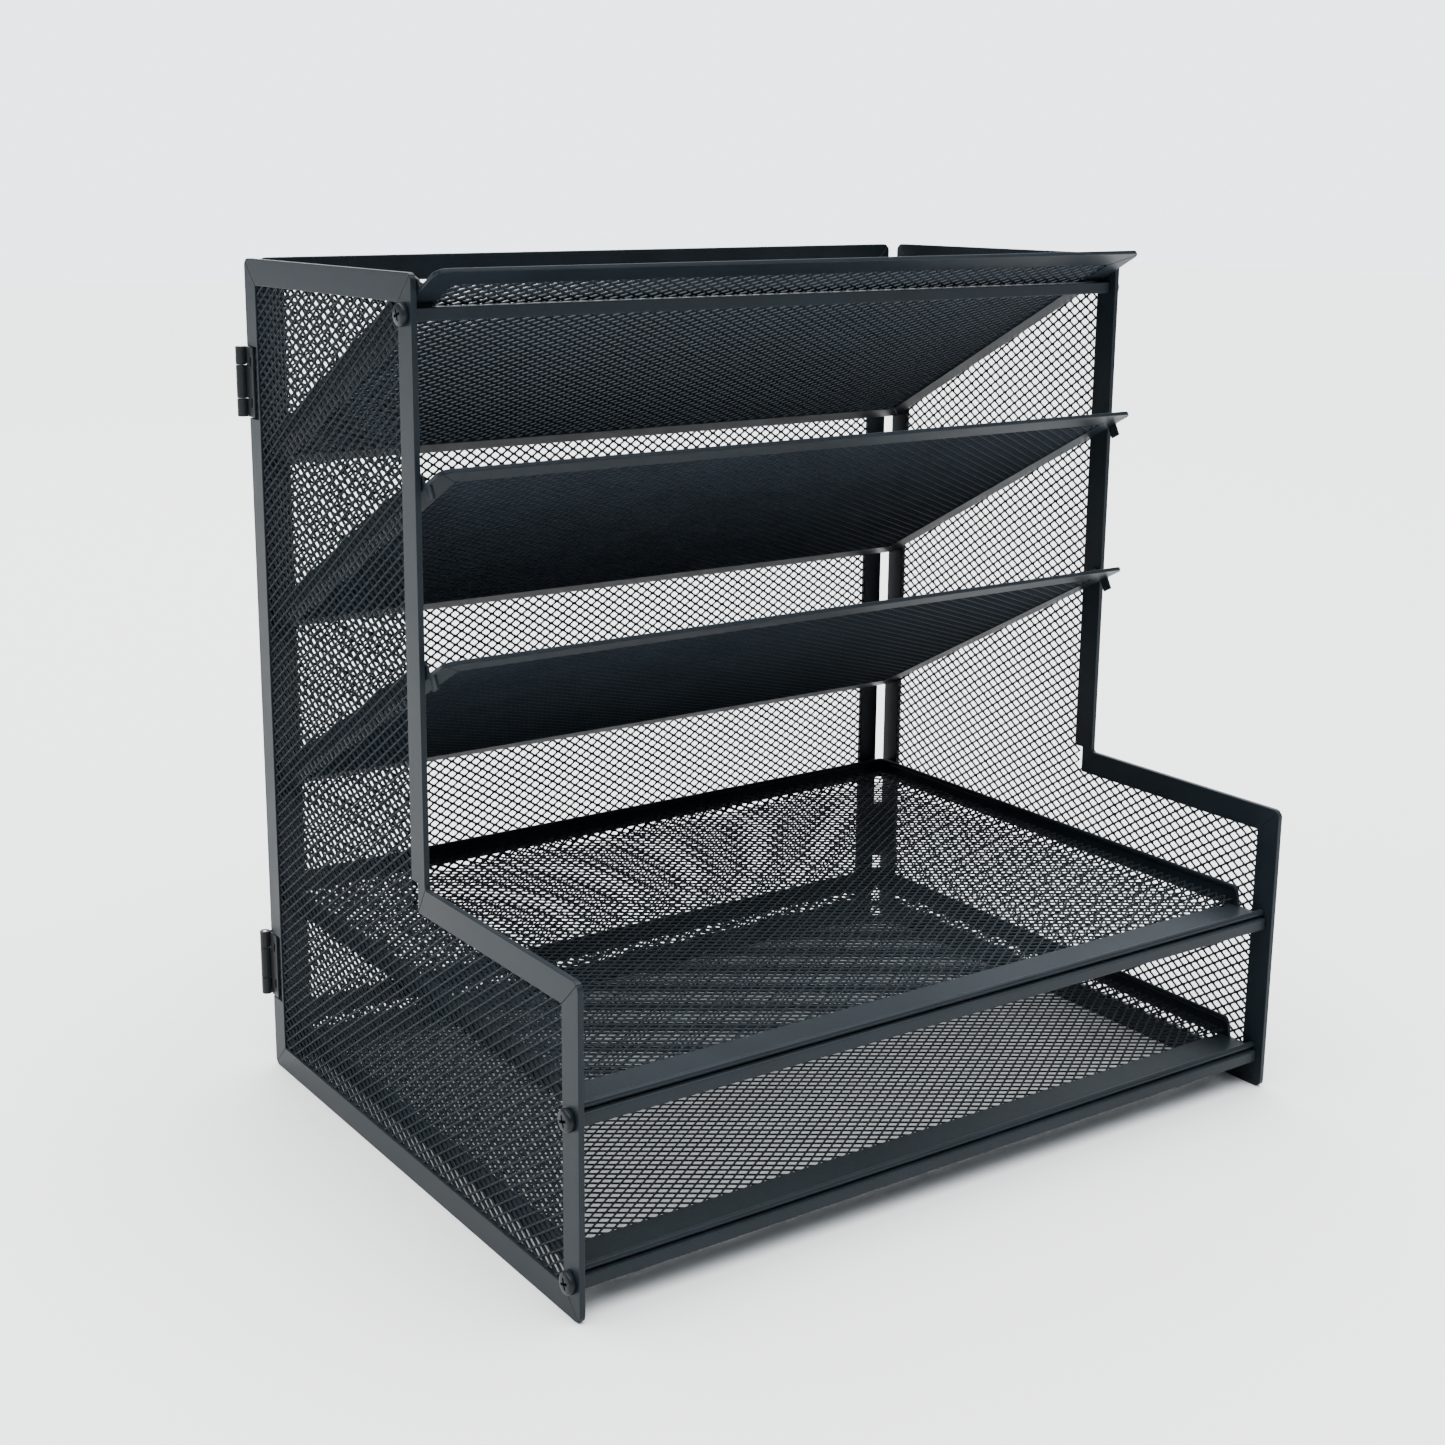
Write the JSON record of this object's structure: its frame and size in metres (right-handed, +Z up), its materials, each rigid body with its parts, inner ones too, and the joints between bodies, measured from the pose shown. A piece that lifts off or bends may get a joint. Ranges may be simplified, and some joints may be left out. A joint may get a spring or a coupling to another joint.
{
  "type": "desktop file sorter",
  "caption": "Black steel mesh desk organizer with sloping file pockets over level letter trays, between stepped side panels hinged to a back panel.",
  "frame": {"origin": "middle of the bounding box's base, on the surface that the sorter stands on", "axes": "+Z up, -Y the open front of the trays and pockets, +X to the right as seen from the front"},
  "size_m": [0.3316, 0.2466, 0.331],
  "materials": {
    "frame_coat": "satin black powder coat on folded steel strip",
    "mesh_coat": "satin black powder coat on expanded steel mesh",
    "hinge_coat": "satin black coat on pressed steel hinge leaves",
    "screw": "black oxide pan-head screws, slightly glossy",
    "hinge_pin": "bright steel pin"
  },
  "bodies": {
    "back": {"back_frame": "frame_coat", "back_mesh": "mesh_coat", "top_shelf_frame": "frame_coat", "top_shelf_mesh": "mesh_coat", "middle_shelf_frame": "frame_coat", "middle_shelf_mesh": "mesh_coat", "bottom_shelf_frame": "frame_coat", "bottom_shelf_mesh": "mesh_coat", "upper_tray_rim": "frame_coat", "upper_tray_mesh": "mesh_coat", "lower_tray_rim": "frame_coat", "lower_tray_mesh": "mesh_coat", "top_crossbar": "frame_coat", "upper_tray_crossbar": "frame_coat", "lower_tray_crossbar": "frame_coat", "left_upper_hinge_back_leaf": "hinge_coat", "left_upper_hinge_pin": "hinge_pin", "left_lower_hinge_back_leaf": "hinge_coat", "left_lower_hinge_pin": "hinge_pin", "right_upper_hinge_back_leaf": "hinge_coat", "right_upper_hinge_pin": "hinge_pin", "right_lower_hinge_back_leaf": "hinge_coat", "right_lower_hinge_pin": "hinge_pin"},
    "left_side": {"left_side_frame": "frame_coat", "left_side_mesh": "mesh_coat", "left_top_screw": "screw", "left_upper_tray_screw": "screw", "left_lower_tray_screw": "screw", "left_upper_hinge_side_leaf": "hinge_coat", "left_lower_hinge_side_leaf": "hinge_coat"},
    "right_side": {"right_side_frame": "frame_coat", "right_side_mesh": "mesh_coat", "right_top_screw": "screw", "right_upper_tray_screw": "screw", "right_lower_tray_screw": "screw", "right_upper_hinge_side_leaf": "hinge_coat", "right_lower_hinge_side_leaf": "hinge_coat"}
  },
  "joints": [
    {"name": "left_side_hinge", "type": "hinge", "parent": "back", "child": "left_side", "pos_m": [-0.1637, 0.1212, 0], "axis": [0, 0, -1], "range_deg": [0, 268]},
    {"name": "right_side_hinge", "type": "hinge", "parent": "back", "child": "right_side", "pos_m": [0.1637, 0.1212, 0], "axis": [0, 0, 1], "range_deg": [0, 255]}
  ]
}
